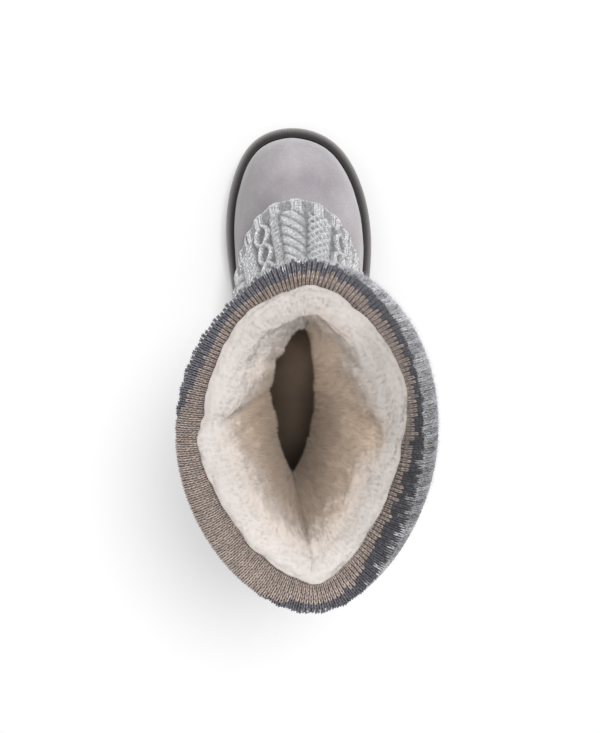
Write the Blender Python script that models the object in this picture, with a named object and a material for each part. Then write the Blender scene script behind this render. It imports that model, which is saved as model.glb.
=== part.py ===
"""Fur-lined mukluk boot, right foot: suede foot, cable-knit leg with a rolled cuff, deep-pile lining.

Metres, +Z up, +Y towards the toe, +X towards the outer (lateral) side of the foot.
The origin is the middle of the heel's bearing face, on the floor.
"""

import math

import bpy
import numpy as np

# The sole
SOLE_LENGTH = 0.276
BALL_WIDTH = 0.106
HEEL_SETBACK = 0.040
HEEL_HEIGHT = 0.024
FOREFOOT_HEIGHT = 0.017
TOE_SPRING = 0.009
ARCH_LIFT = 0.003
SOLE_EDGE_INSET = 0.0008
SIDE_RIB_DEPTH = 0.0014
BOTTOM_BEVEL = 0.0022
LUG_DEPTH = 0.0030
GROOVE_WIDTH = 0.0036
GROOVE_PITCH = 0.0130
GROOVE_WAVE = 0.0030
GROOVE_WAVES = 6

# Places along the sole, as shares of its length: where the heel's flat ends, where the arch is full,
# where the forefoot's flat starts, where the toe spring starts, and where the bed drops
ARCH_START = (0.26, 0.34)
ARCH_END = (0.46, 0.56)
SPRING_START = 0.76
SPRING_CURVE = 1.7
BED_DROP = (0.22, 0.66)
FOREFOOT_TREAD = (0.585, 0.955)

# The welt roll that covers the joint of sole and upper
WELT_WIDTH = 0.0062
WELT_HEIGHT = 0.0086
WELT_SIDES = 9

# The foot and the leg
INSTEP_HEIGHT = 0.084
LEG_HEIGHT = 0.157
LEG_CENTRE = 0.0309
COLLAR_LENGTH = 0.1454
COLLAR_WIDTH = 0.0944
WIDEST_SOFTNESS = 0.03

# The collar's front and back ends sit outwards of its middle: how far, over which rows of the last it
# grows, and down to which share of the leg's height the pile's tunnel follows it
COLLAR_SKEW_FRONT = 0.0012
COLLAR_SKEW_BACK = 0.0052
SKEW_ROWS = (8.0, 12.0)
SKEW_DEPTH = 0.6

# Walls and fits
SUEDE_WALL = 0.0020
KNIT_WALL = 0.0038
HEM_THINNING = 0.72
CUFF_WALL = 0.0071
CUFF_FLARE = 0.0165
CUFF_FLARE_SIDE = 84.0
CUFF_FLARE_INNER = 0.92
CROWN_RISE = 0.0065
PILE_CROWN = 0.7
INSOLE_THICKNESS = 0.0040
INSOLE_ROUNDING = 0.0012
LOCK_HEIGHT = 0.0050
LOCK_ROOT = 0.4
GAP = 0.0003
WELT_CLEARANCE = 0.0006
INSOLE_CLEARANCE = 0.0008

# Points around every section of the last, and locks of pile around the lining
AROUND = 52
LOCKS_AROUND = 13

# Rows of the last where every piece has a section, and those where pieces begin and end
LAST_ROWS = (
    0.0, 1.0, 1.5, 2.0, 2.5, 3.0, 3.5, 4.0, 4.5, 5.0, 5.4,
    6.0, 6.5, 7.0, 7.4, 7.8, 8.5, 9.2, 9.9, 10.6, 11.3, 12.0,
)
KNIT_HEM_ROW = 5.0
SUEDE_TOP_ROW = 5.4
LINING_END_ROW = 7.8
CUFF_HEM_ROW = 9.9
COLLAR_ROW = 12.0

# Sole outline: shares of the sole's length from the heel, and of the ball's width (inner side negative)
OUTLINE = (
    # place, along, across
    ("toe tip", 1.000, -0.035),
    ("outer toe", 0.962, 0.240),
    ("little toe", 0.862, 0.415),
    ("outer ball", 0.720, 0.490),
    ("outer waist", 0.450, 0.428),
    ("outer heel", 0.160, 0.372),
    ("outer heel corner", 0.044, 0.262),
    ("heel back", 0.000, 0.000),
    ("inner heel corner", 0.044, -0.262),
    ("inner heel", 0.160, -0.368),
    ("inner waist", 0.430, -0.405),
    ("inner ball", 0.740, -0.510),
    ("big toe", 0.872, -0.460),
    ("inner toe", 0.966, -0.318),
)

# Sections of the foot, from the feather line up. front, back: shares of the sole's length, inwards from
# the feather line's ends. rises: shares of the instep's height. width: share of the feather line's
# width. foot: 1 where the section keeps the sole's outline, 0 where it is an oval.
FOOT_ROWS = (
    # front, back, rise_front, rise_side, rise_back, width, foot
    (0.000, 0.000, 0.000, 0.000, 0.000, 1.000, 1.00),
    (0.006, -0.002, 0.125, 0.125, 0.130, 0.998, 1.00),
    (0.017, -0.007, 0.262, 0.245, 0.270, 0.996, 1.00),
    (0.040, -0.009, 0.400, 0.305, 0.385, 0.982, 0.90),
    (0.100, -0.008, 0.520, 0.350, 0.450, 0.965, 0.72),
    (0.194, -0.006, 0.645, 0.392, 0.520, 0.942, 0.52),
    (0.276, 0.000, 0.780, 0.590, 0.730, 0.890, 0.30),
    (0.352, 0.008, 0.960, 0.830, 0.930, 0.820, 0.12),
)

# Sections of the leg. length, width: shares of the collar's. centre, lean: shares of the collar's
# length and width, forwards and outwards. rise: share of the leg's height. front, back: 2 where that
# half is an ellipse, and less where it is more pointed.
LEG_ROWS = (
    # length, width, centre, lean, rise, front, back
    (0.940, 0.785, 0.072, -0.034, 0.165, 2.00, 2.00),
    (0.925, 0.853, 0.030, -0.020, 0.400, 2.00, 1.95),
    (0.955, 0.950, 0.006, 0.012, 0.660, 1.95, 1.87),
    (0.980, 0.985, 0.000, 0.010, 0.880, 1.90, 1.80),
    (1.000, 1.000, 0.000, 0.000, 1.000, 1.88, 1.77),
    (1.010, 1.010, 0.000, -0.002, 1.110, 1.88, 1.75),
)

# The tunnel that the pile leaves open. drop: share of the leg's height below the collar. front, back:
# shares of the collar's length from the leg's centre. half, lean: shares of the collar's width.
# point: 2 is an ellipse, and less is an almond.
TUNNEL_ROWS = (
    # drop, front, back, half, point, lean
    (-0.055, 0.440, -0.442, 0.440, 1.95, 0.008),
    (-0.020, 0.408, -0.398, 0.395, 1.85, 0.000),
    (0.080, 0.385, -0.350, 0.350, 1.70, -0.010),
    (0.200, 0.370, -0.305, 0.297, 1.60, -0.020),
    (0.340, 0.357, -0.262, 0.240, 1.50, -0.032),
    (0.480, 0.347, -0.236, 0.193, 1.45, -0.038),
    (0.620, 0.343, -0.218, 0.162, 1.40, -0.043),
    (0.730, 0.345, -0.217, 0.158, 1.40, -0.043),
    (0.810, 0.357, -0.229, 0.176, 1.45, -0.038),
    (0.868, 0.385, -0.265, 0.225, 1.60, -0.032),
)

# Side of the outsole from the floor up: shares of its height, and of the side ribs' depth inwards
SOLE_SIDE = (
    # height, inset
    (0.16, 0.35),
    (0.34, 0.00),
    (0.40, 1.00),
    (0.50, 1.00),
    (0.56, 0.00),
    (0.78, 0.00),
    (0.84, 1.00),
    (0.94, 1.00),
)

# The cuff's roll over the collar, outwards from the pile. wall: 0 on the knit leg's outer face, 1 on
# the cuff's outer face, -1 on the knit leg's inner face. rise: share of the crown's.
CUFF_CROWN = (
    # wall, rise
    (-1.00, 0.10),
    (-1.00, 0.55),
    (-0.60, 0.90),
    (0.00, 1.00),
    (0.60, 0.86),
    (0.95, 0.48),
    (1.05, 0.00),
)

SUEDE_COLOUR = (0.50, 0.47, 0.48, 1.0)
KNIT_COLOUR = (0.62, 0.62, 0.65, 1.0)
CUFF_COLOUR = (0.38, 0.33, 0.30, 1.0)
PILE_COLOUR = (0.83, 0.78, 0.73, 1.0)
INSOLE_COLOUR = (0.10, 0.07, 0.055, 1.0)
RUBBER_COLOUR = (0.13, 0.13, 0.13, 1.0)
WELT_COLOUR = (0.12, 0.12, 0.12, 1.0)

FEATHER_INSET = WELT_WIDTH + WELT_CLEARANCE
HALF_TURN = AROUND // 2
ANGLES = np.arange(AROUND) * 2 * math.pi / AROUND
ALONG = 0.5 - 0.5 * np.cos(ANGLES)


def smooth_step(value, low, high):
    """0 below low, 1 above high, and a smooth S between."""
    share = np.clip((value - low) / (high - low), 0.0, 1.0)
    return share * share * (3.0 - 2.0 * share)


def section(table, row):
    """One section of a table, at a row number that may lie between two of its rows."""
    last = len(table) - 1
    start = int(min(max(math.floor(row), 0), last - 1))
    share = row - start
    low, high = table[start], table[start + 1]
    low_slope = (high - table[start - 1]) / 2 if start > 0 else high - low
    high_slope = (table[start + 2] - low) / 2 if start < last - 1 else high - low
    return (
        (2 * share**3 - 3 * share**2 + 1) * low
        + (share**3 - 2 * share**2 + share) * low_slope
        + (3 * share**2 - 2 * share**3) * high
        + (share**3 - share**2) * high_slope
    )


def closed_spline(points, steps):
    """A closed line through the points, whose curvature has no jumps, with that many steps a span."""
    points = np.asarray(points, float)
    count = len(points)
    following = np.roll(points, -1, axis=0)
    chords = np.linalg.norm(following - points, axis=1)
    slopes = (following - points) / chords[:, None]
    matrix = np.zeros((count, count))
    for index in range(count):
        matrix[index, index - 1] += chords[index - 1]
        matrix[index, index] += 2 * (chords[index - 1] + chords[index])
        matrix[index, (index + 1) % count] += chords[index]
    bends = np.linalg.solve(matrix, 6 * (slopes - np.roll(slopes, 1, axis=0)))
    line = []
    for index in range(count):
        chord, end = chords[index], (index + 1) % count
        for step in range(steps):
            done = chord * step / steps
            left = chord - done
            line.append(
                (bends[index] * left**3 + bends[end] * done**3) / (6 * chord)
                + (points[index] / chord - bends[index] * chord / 6) * left
                + (points[end] / chord - bends[end] * chord / 6) * done
            )
    return np.array(line)


def outline_inset(inset):
    """(x, y) at every angle of the sole's outline, moved in by inset. The two sides share each y."""
    places = [(across * BALL_WIDTH, along * SOLE_LENGTH - HEEL_SETBACK) for _, along, across in OUTLINE]
    line = closed_spline(places, 60)
    along = np.roll(line, -1, axis=0) - np.roll(line, 1, axis=0)
    along /= np.linalg.norm(along, axis=1)[:, None]
    line = line + inset * np.column_stack([along[:, 1], -along[:, 0]])
    front, back = line[:, 1].argmax(), line[:, 1].argmin()
    line = np.roll(line, -front, axis=0)
    heel = (back - front) % len(line)
    outer, inner = line[: heel + 1], np.vstack([line[heel:], line[:1]])
    y = line[heel, 1] + ALONG * (line[0, 1] - line[heel, 1])
    x_outer = np.interp(y, outer[::-1, 1], outer[::-1, 0])
    x_inner = np.interp(y, inner[:, 1], inner[:, 0])
    return np.where(ANGLES <= math.pi, x_outer, x_inner), y


def sole_share(y):
    """Place along the sole, 0 at the heel's back and 1 at the toe's tip."""
    return (y + HEEL_SETBACK) / SOLE_LENGTH


def toe_lift(y):
    """Height that the toe spring adds, from the end of the forefoot's flat on."""
    share = (sole_share(y) - SPRING_START) / (1 - SPRING_START)
    return TOE_SPRING * np.clip(share, 0, None) ** SPRING_CURVE


def sole_bottom(y):
    """Height of the tread: flat under heel and forefoot, lifted at the arch and the toe."""
    share = sole_share(y)
    arch = smooth_step(share, *ARCH_START) * (1 - smooth_step(share, *ARCH_END))
    return ARCH_LIFT * arch + toe_lift(y)


def sole_top(y):
    """Height of the bed that the upper stands on, from heel to forefoot."""
    share = sole_share(y)
    drop = smooth_step(share, *BED_DROP)
    return HEEL_HEIGHT + (FOREFOOT_HEIGHT - HEEL_HEIGHT) * drop + toe_lift(y)


def last_table():
    """Every section of the last in metres: front, back, rises, width, centre, foot and two squarenesses."""
    x, y = outline_inset(FEATHER_INSET)
    feather_width = x.max() - x.min()
    rows = []
    for front, back, rise_front, rise_side, rise_back, width, foot in FOOT_ROWS:
        rows.append((
            y.max() - front * SOLE_LENGTH,
            y.min() + back * SOLE_LENGTH,
            rise_front * INSTEP_HEIGHT,
            rise_side * INSTEP_HEIGHT,
            rise_back * INSTEP_HEIGHT,
            width * feather_width,
            0.0,
            foot,
            2.0,
            2.0,
        ))
    for length, width, centre, lean, rise, square_front, square_back in LEG_ROWS:
        middle = LEG_CENTRE + centre * COLLAR_LENGTH
        height = INSTEP_HEIGHT + rise * LEG_HEIGHT
        rows.append((
            middle + length * COLLAR_LENGTH / 2,
            middle - length * COLLAR_LENGTH / 2,
            height,
            height,
            height,
            width * COLLAR_WIDTH,
            lean * COLLAR_WIDTH,
            0.0,
            square_front,
            square_back,
        ))
    return np.array(rows), x / feather_width


LAST, FEATHER_SHARES = last_table()


def collar_skew(share):
    """Outward shift of the leg's front and back ends at a share of its whole at the collar."""
    ends = 2 * ALONG - 1
    return share * (COLLAR_SKEW_FRONT * ends.clip(0, 1) ** 2 + COLLAR_SKEW_BACK * (-ends).clip(0, 1) ** 2)


def last_surface(row):
    """Points around the last at a row: the outer face of the suede and the inner face of the knit."""
    front, back, rise_front, rise_side, rise_back, width, centre, foot = section(LAST, row)[:8]
    ends = 2 * ALONG - 1
    square = np.where(ends > 0, *section(LAST, row)[8:])
    reach = np.sqrt(ends**2 + WIDEST_SOFTNESS**2) - WIDEST_SOFTNESS
    reach /= math.sqrt(1 + WIDEST_SOFTNESS**2) - WIDEST_SOFTNESS
    oval = (1 - reach**square).clip(0) ** (1 / square) / 2 * np.sign(np.sin(ANGLES))
    centre = centre + collar_skew(smooth_step(row, *SKEW_ROWS))
    x = centre + width * (foot * FEATHER_SHARES + (1 - foot) * oval)
    y = back + ALONG * (front - back)
    rise = (
        rise_side
        + (rise_front - rise_side) * np.clip(ends, 0, 1) ** 2
        + (rise_back - rise_side) * np.clip(-ends, 0, 1) ** 2
    )
    z = HEEL_HEIGHT + GAP + rise + foot * (sole_top(y) - HEEL_HEIGHT)
    return np.column_stack([x, y, z])


def last_offset(row, distance):
    """Points around the last at a row, moved out along the surface's normal by distance."""
    step = 0.02
    across = np.roll(last_surface(row), 1, axis=0) - np.roll(last_surface(row), -1, axis=0)
    up = last_surface(row + step) - last_surface(row - step)
    if row < step:
        up = np.zeros_like(across) + (0, 0, step)
    normal = np.cross(up, across)
    normal /= np.linalg.norm(normal, axis=1)[:, None]
    return last_surface(row) + np.asarray(distance)[..., None] * normal


def rows_between(low, high):
    """The last's rows from low to high, the same for every piece, so that nested walls bend alike."""
    return [row for row in LAST_ROWS if low <= row <= high]


def material(name, colour, roughness):
    """A plain finish: colour and roughness."""
    made = bpy.data.materials.new(name)
    made.use_nodes = True
    shader = made.node_tree.nodes["Principled BSDF"]
    shader.inputs["Base Color"].default_value = colour
    shader.inputs["Roughness"].default_value = roughness
    shader.inputs["Metallic"].default_value = 0.0
    made.diffuse_color = colour
    return made


def add_object(name, points, faces, finish, parent, collection):
    """A named object of these points and faces, smooth but for its sharp edges."""
    mesh = bpy.data.meshes.new(name)
    mesh.from_pydata([tuple(point) for point in points], [], faces)
    mesh.validate()
    mesh.shade_smooth()
    mesh.set_sharp_from_angle(angle=math.radians(40))
    mesh.materials.append(finish)
    made = bpy.data.objects.new(name, mesh)
    made.parent = parent
    collection.objects.link(made)
    return made


def ring_faces(low, high, upwards=True):
    """Faces between two rings, seen from outside if upwards and from the middle if not.

    The four points between two rings are split along the line that leans towards the toe from the
    lower ring to the higher, on both sides of the foot and of every wall, so nested walls bend alike.
    """
    faces = []
    for index in range(AROUND):
        after = (index + 1) % AROUND
        if index < HALF_TURN:
            pair = ((low + index, low + after, high + after), (low + index, high + after, high + index))
        else:
            pair = ((low + index, low + after, high + index), (low + after, high + after, high + index))
        faces += pair if upwards else [triangle[::-1] for triangle in pair]
    return faces


def closed_loft(name, inner, outer, finish, parent, collection):
    """A body around an opening: rings up its inner face, then over its rim and down its outer face."""
    faces = []
    for level in range(len(inner) - 1):
        faces += ring_faces(level * AROUND, (level + 1) * AROUND, upwards=False)
    count = len(inner) + len(outer)
    for level in range(len(inner) - 1, count):
        faces += ring_faces((level + 1) % count * AROUND, level * AROUND)
    return add_object(name, np.vstack(inner + outer), faces, finish, parent, collection)


def capped_loft(name, rings, finish, parent, collection):
    """A plate: rings from the underside to the top, each end closed by strips from side to side."""
    faces = []
    for level in range(len(rings) - 1):
        faces += ring_faces(level * AROUND, (level + 1) * AROUND)
    top = (len(rings) - 1) * AROUND
    for index in range(HALF_TURN):
        strip = (index, index + 1, AROUND - index - 1, (AROUND - index) % AROUND)
        faces.append(tuple(dict.fromkeys(strip))[::-1])
        faces.append(tuple(dict.fromkeys(top + place for place in strip)))
    return add_object(name, np.vstack(rings), faces, finish, parent, collection)


def plate_ring(inset, height):
    """A ring of the sole's outline moved in by inset, at a height that is a function of y."""
    x, y = outline_inset(inset)
    return np.column_stack([x, y, height(y)])


def side_height(share):
    """The height function of a line along the outsole's side, share of the way up."""
    return lambda y: sole_bottom(y) + share * (sole_top(y) - sole_bottom(y))


def make_outsole(parent, collection, cutters):
    """Rubber outsole: flat heel and forefoot, arch, toe spring, ribbed side and wavy lugs."""
    rings = [plate_ring(SOLE_EDGE_INSET + BOTTOM_BEVEL, sole_bottom)]
    for share, inset in SOLE_SIDE:
        rings.append(plate_ring(SOLE_EDGE_INSET + inset * SIDE_RIB_DEPTH, side_height(share)))
    rings.append(plate_ring(SOLE_EDGE_INSET, sole_top))
    outsole = capped_loft(
        "outsole", rings, material("outsole", RUBBER_COLOUR, 0.75), parent, collection
    )
    add_grooves(parent, cutters)
    cut = outsole.modifiers.new("Grooves", "BOOLEAN")
    cut.operation = "DIFFERENCE"
    cut.solver = "EXACT"
    cut.operand_type = "COLLECTION"
    cut.collection = cutters
    return outsole


def groove_places():
    """Places of the tread's grooves: on both sides of the heel's middle lug, and along the forefoot."""
    heel = [(step + 0.5) * GROOVE_PITCH for step in range(-2, 3)]
    start, end = (share * SOLE_LENGTH - HEEL_SETBACK for share in FOREFOOT_TREAD)
    count = int((end - start) / GROOVE_PITCH) + 1
    return heel + [start + step * GROOVE_PITCH for step in range(count)]


def add_grooves(parent, cutters):
    """One wavy bar for each groove of the tread, deep enough to leave the lugs standing."""
    reach = 0.6 * BALL_WIDTH
    for number, y in enumerate(groove_places()):
        line = [
            (reach * (2 * step / GROOVE_WAVES - 1), y + GROOVE_WAVE * (step % 2 - 0.5))
            for step in range(GROOVE_WAVES + 1)
        ]
        corners = [(x, place - GROOVE_WIDTH / 2) for x, place in line]
        corners += [(x, place + GROOVE_WIDTH / 2) for x, place in reversed(line)]
        top = float(sole_bottom(np.array(y))) + LUG_DEPTH
        points = [(x, place, z) for z in (-LUG_DEPTH, top) for x, place in corners]
        count = len(corners)
        faces = [
            (index, (index + 1) % count, count + (index + 1) % count, count + index)
            for index in range(count)
        ]
        for low in range(GROOVE_WAVES):
            high = count - 1 - low
            faces.append((low, high, high - 1, low + 1))
            faces.append((count + low, count + low + 1, count + high - 1, count + high))
        mesh = bpy.data.meshes.new(f"groove_{number}")
        mesh.from_pydata(points, [], faces)
        bar = bpy.data.objects.new(f"groove_{number}", mesh)
        bar.parent = parent
        bar.hide_render = True
        bar.display_type = "WIRE"
        cutters.objects.link(bar)


def make_welt(parent, collection):
    """Corded roll round the sole's edge, over the joint of sole and upper."""
    rings = []
    for step in range(WELT_SIDES):
        turn = 2 * math.pi * step / WELT_SIDES
        inset = WELT_WIDTH / 2 * (1 + math.cos(turn))
        rise = GAP + WELT_HEIGHT / 2 * (1 + math.sin(turn))
        rings.append(plate_ring(inset, lambda y, rise=rise: sole_top(y) + rise))
    finish = material("welt_roll", WELT_COLOUR, 0.8)
    return closed_loft("welt_roll", rings[:1], rings[1:], finish, parent, collection)


def make_insole(parent, collection):
    """Footbed on the outsole, inside the upper, with a rounded upper edge."""
    inset = FEATHER_INSET + SUEDE_WALL + INSOLE_CLEARANCE
    levels = (
        (0.0, 0.0),
        (INSOLE_THICKNESS - INSOLE_ROUNDING, 0.0),
        (INSOLE_THICKNESS, INSOLE_ROUNDING),
    )
    rings = [
        plate_ring(inset + more, lambda y, rise=rise: sole_top(y) + GAP + rise)
        for rise, more in levels
    ]
    return capped_loft(
        "insole", rings, material("insole", INSOLE_COLOUR, 0.6), parent, collection
    )


def make_upper(parent, collection):
    """Suede foot: one hollow wall on the last, open underneath and at its throat."""
    rows = rows_between(0.0, SUEDE_TOP_ROW)
    inner = [last_offset(row, -SUEDE_WALL) for row in rows]
    outer = [last_surface(row) for row in reversed(rows)]
    finish = material("upper", SUEDE_COLOUR, 0.9)
    return closed_loft("upper", inner, outer, finish, parent, collection)


def make_knit_leg(parent, collection):
    """Knitted leg: one hollow wall over the suede's top edge and up to the collar, thinner at its hem."""
    rows = rows_between(KNIT_HEM_ROW, COLLAR_ROW)
    inner = [last_offset(row, GAP) for row in rows]
    outer = []
    for row in reversed(rows):
        wall = KNIT_WALL * (HEM_THINNING if row == KNIT_HEM_ROW else 1.0)
        outer.append(last_offset(row, GAP + wall))
    finish = material("knit_leg", KNIT_COLOUR, 0.95)
    return closed_loft("knit_leg", inner, outer, finish, parent, collection)


def cuff_flare(row):
    """How far the cuff stands off the leg at a row: most at its hem, on the leg's outer side."""
    towards = math.pi - math.radians(CUFF_FLARE_SIDE)
    side = (0.5 + 0.5 * np.cos(ANGLES - towards)) ** 1.5
    return CUFF_FLARE * side * (COLLAR_ROW - row) / (COLLAR_ROW - CUFF_HEM_ROW)


def make_cuff(parent, collection):
    """Knitted cuff: down the leg's outer face from the collar, and rolled over the collar's edge."""
    rows = rows_between(CUFF_HEM_ROW, COLLAR_ROW)
    leg_face = KNIT_WALL + 2 * GAP
    inner = [last_offset(row, leg_face + cuff_flare(row) * CUFF_FLARE_INNER) for row in rows[:-1]]
    inner.append(last_offset(COLLAR_ROW, leg_face) + (0, 0, GAP))
    outer = [last_offset(COLLAR_ROW, GAP) + (0, 0, GAP)]
    for wall, rise in CUFF_CROWN:
        thickness = CUFF_WALL if wall > 0 else KNIT_WALL + GAP
        ring = last_offset(COLLAR_ROW, leg_face + wall * thickness)
        outer.append(ring + (0, 0, GAP + rise * CROWN_RISE))
    for row in reversed(rows[:-1]):
        outer.append(last_offset(row, leg_face + CUFF_WALL + cuff_flare(row)))
    finish = material("cuff", CUFF_COLOUR, 0.95)
    return closed_loft("cuff", inner, outer, finish, parent, collection)


def tunnel_ring(row):
    """Points around the tunnel in the pile at a row of TUNNEL_ROWS, and their outward directions."""
    drop, front, back, half, point, lean = section(np.array(TUNNEL_ROWS), row)
    ends = 2 * ALONG - 1
    across = (1 - np.abs(ends) ** point) ** (1 / point) * np.sign(np.sin(ANGLES))
    skew = collar_skew(1 - smooth_step(drop, 0.0, SKEW_DEPTH))
    x = COLLAR_WIDTH * (lean + half * across) + skew
    y = LEG_CENTRE + COLLAR_LENGTH * (back + ALONG * (front - back))
    z = np.full(AROUND, HEEL_HEIGHT + INSTEP_HEIGHT + LEG_HEIGHT * (1 - drop))
    outwards = np.column_stack([np.sin(ANGLES), -np.cos(ANGLES), np.zeros(AROUND)])
    return np.column_stack([x, y, z]), outwards


def make_lining(parent, collection):
    """Pile lining: backed by the leg all round, with staggered locks fused on towards the tunnel."""
    inner = []
    sides = 0.5 + 0.5 * np.abs(np.sin(ANGLES))
    for row in np.arange(2 * (len(TUNNEL_ROWS) - 1), -1, -1) / 2:
        ring, outwards = tunnel_ring(row)
        tufts = np.cos(LOCKS_AROUND * ANGLES + math.pi * (int(row) % 2)).clip(0, 1)
        height = LOCK_HEIGHT * sides * tufts * (LOCK_ROOT if row % 1 else 1.0)
        inner.append(ring - height[:, None] * outwards)
    outer = [last_offset(COLLAR_ROW, -2 * GAP) + (0, 0, CROWN_RISE * PILE_CROWN)]
    outer += [last_surface(row) for row in reversed(rows_between(LINING_END_ROW, COLLAR_ROW))]
    finish = material("fur_lining", PILE_COLOUR, 1.0)
    return closed_loft("fur_lining", inner, outer, finish, parent, collection)


def main():
    """Clears the scene and builds the boot under one parent."""
    for old in list(bpy.data.objects):
        bpy.data.objects.remove(old)
    scene = bpy.context.scene
    collection = bpy.data.collections.new("mukluk_boot")
    cutters = bpy.data.collections.new("tread_cutters")
    scene.collection.children.link(collection)
    scene.collection.children.link(cutters)
    boot = bpy.data.objects.new("boot", None)
    collection.objects.link(boot)
    make_outsole(boot, collection, cutters)
    make_welt(boot, collection)
    make_insole(boot, collection)
    make_upper(boot, collection)
    make_knit_leg(boot, collection)
    make_cuff(boot, collection)
    make_lining(boot, collection)


main()
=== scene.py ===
"""Looks of the fur-lined mukluk boot, right foot, seen from straight above as in the photograph.

Metres, +Z up, +Y towards the toe, +X towards the outer side. Every surface is a grid worked out from
the boot's own sizes: theta runs round the boot (0 at the heel, a quarter turn at the outer side, half a
turn at the toe) and a second number runs up the foot and leg or across a wall.
"""

import math

import bpy
import numpy as np
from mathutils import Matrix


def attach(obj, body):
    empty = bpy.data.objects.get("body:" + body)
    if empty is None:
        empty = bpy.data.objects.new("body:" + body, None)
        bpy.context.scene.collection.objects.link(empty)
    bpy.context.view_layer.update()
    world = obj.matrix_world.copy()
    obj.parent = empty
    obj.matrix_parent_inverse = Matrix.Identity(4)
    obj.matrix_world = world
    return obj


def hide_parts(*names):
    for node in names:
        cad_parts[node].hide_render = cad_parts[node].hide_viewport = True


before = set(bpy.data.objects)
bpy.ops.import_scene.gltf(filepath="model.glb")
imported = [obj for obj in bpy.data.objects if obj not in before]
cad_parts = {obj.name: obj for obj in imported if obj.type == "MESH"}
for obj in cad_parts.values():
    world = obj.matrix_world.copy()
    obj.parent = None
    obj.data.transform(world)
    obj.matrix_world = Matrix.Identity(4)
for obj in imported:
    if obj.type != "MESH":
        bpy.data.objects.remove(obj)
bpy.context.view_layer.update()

# The boot's sizes, as in its solids
SOLE_LENGTH = 0.276
BALL_WIDTH = 0.106
HEEL_SETBACK = 0.040
HEEL_HEIGHT = 0.024
FOREFOOT_HEIGHT = 0.017
TOE_SPRING = 0.009
SPRING_START = 0.76
SPRING_CURVE = 1.7
BED_DROP = (0.22, 0.66)
WELT_WIDTH = 0.0062
WELT_HEIGHT = 0.0086
FEATHER_INSET = WELT_WIDTH + 0.0006
INSTEP_HEIGHT = 0.084
LEG_HEIGHT = 0.157
LEG_CENTRE = 0.0309
COLLAR_LENGTH = 0.1454
COLLAR_WIDTH = 0.0944
COLLAR_SKEW_FRONT = 0.0012
COLLAR_SKEW_BACK = 0.0052
SKEW_ROWS = (8.0, 12.0)
SKEW_DEPTH = 0.6
WIDEST_SOFTNESS = 0.03
SUEDE_WALL = 0.0020
KNIT_WALL = 0.0038
CUFF_WALL = 0.0071
CUFF_FLARE = 0.0165
CUFF_FLARE_SIDE = 84.0
CROWN_RISE = 0.0065
GAP = 0.0003
COLLAR_ROW = 12.0
CUFF_HEM_ROW = 9.9
LINING_END_ROW = 7.8
KNIT_HEM_ROW = 5.0
SUEDE_TOP_ROW = 5.4
COLLAR_HEIGHT = HEEL_HEIGHT + GAP + INSTEP_HEIGHT + LEG_HEIGHT

# Sole outline: along (share of the sole's length from the heel), across (share of the ball's width)
OUTLINE = (
    (1.000, -0.035), (0.962, 0.240), (0.862, 0.415), (0.720, 0.490), (0.450, 0.428),
    (0.160, 0.372), (0.044, 0.262), (0.000, 0.000), (0.044, -0.262), (0.160, -0.368),
    (0.430, -0.405), (0.740, -0.510), (0.872, -0.460), (0.966, -0.318),
)

# Sections of the foot, as in its solids
FOOT_ROWS = (
    # front, back, rise_front, rise_side, rise_back, width, foot
    (0.000, 0.000, 0.000, 0.000, 0.000, 1.000, 1.00),
    (0.006, -0.002, 0.125, 0.125, 0.130, 0.998, 1.00),
    (0.017, -0.007, 0.262, 0.245, 0.270, 0.996, 1.00),
    (0.040, -0.009, 0.400, 0.305, 0.385, 0.982, 0.90),
    (0.100, -0.008, 0.520, 0.350, 0.450, 0.965, 0.72),
    (0.194, -0.006, 0.645, 0.392, 0.520, 0.942, 0.52),
    (0.276, 0.000, 0.780, 0.590, 0.730, 0.890, 0.30),
    (0.352, 0.008, 0.960, 0.830, 0.930, 0.820, 0.12),
)

# Sections of the leg, as in its solids
LEG_ROWS = (
    # length, width, centre, lean, rise, front, back
    (0.940, 0.785, 0.072, -0.034, 0.165, 2.00, 2.00),
    (0.925, 0.853, 0.030, -0.020, 0.400, 2.00, 1.95),
    (0.955, 0.950, 0.006, 0.012, 0.660, 1.95, 1.87),
    (0.980, 0.985, 0.000, 0.010, 0.880, 1.90, 1.80),
    (1.000, 1.000, 0.000, 0.000, 1.000, 1.88, 1.77),
    (1.010, 1.010, 0.000, -0.002, 1.110, 1.88, 1.75),
)

# The tunnel down the boot, from its narrowest ring down: how far below the collar as a share of the leg,
# where it ends in front and behind, its half width, the power of its almond shape, and its lean
TUNNEL_ROWS = np.array((
    # drop, front, back, half, point, lean
    (0.730, 0.408, -0.238, 0.170, 1.45, -0.043),
    (0.810, 0.408, -0.242, 0.180, 1.45, -0.038),
    (0.868, 0.410, -0.265, 0.225, 1.60, -0.032),
))

# The pile's wall between its crest and the hole's edge, as seen from above: how far below the collar it
# has come at the hole's edge, the power of the share of the way by which it gets there, and its painted
# light and shade
PILE_WALL = np.array((
    # theta share of a turn, depth, power, painted light and shade
    (0.00, 0.080, 2.0, 0.68),
    (0.10, 0.080, 1.9, 0.80),
    (0.20, 0.066, 1.8, 0.79),
    (0.25, 0.048, 1.6, 0.82),
    (0.30, 0.038, 1.6, 1.04),
    (0.36, 0.030, 1.5, 1.26),
    (0.44, 0.024, 1.5, 1.14),
    (0.49, 0.017, 1.5, 1.04),
    (0.54, 0.011, 1.5, 0.82),
    (0.60, 0.008, 1.5, 0.66),
    (0.68, 0.009, 1.5, 0.86),
    (0.72, 0.030, 1.5, 1.08),
    (0.76, 0.066, 1.7, 1.00),
    (0.82, 0.080, 1.9, 0.95),
    (0.90, 0.082, 2.0, 0.84),
))

# The wall's rings as shares of the way from its crest to the hole's edge, and the rings under that edge as
# shares of the way down to the tunnel's first ring
WALL_STEPS = (0.12, 0.25, 0.38, 0.52, 0.66, 0.80, 0.91, 1.0)
EDGE_STEPS = (0.03, 0.12, 0.40)

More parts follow.
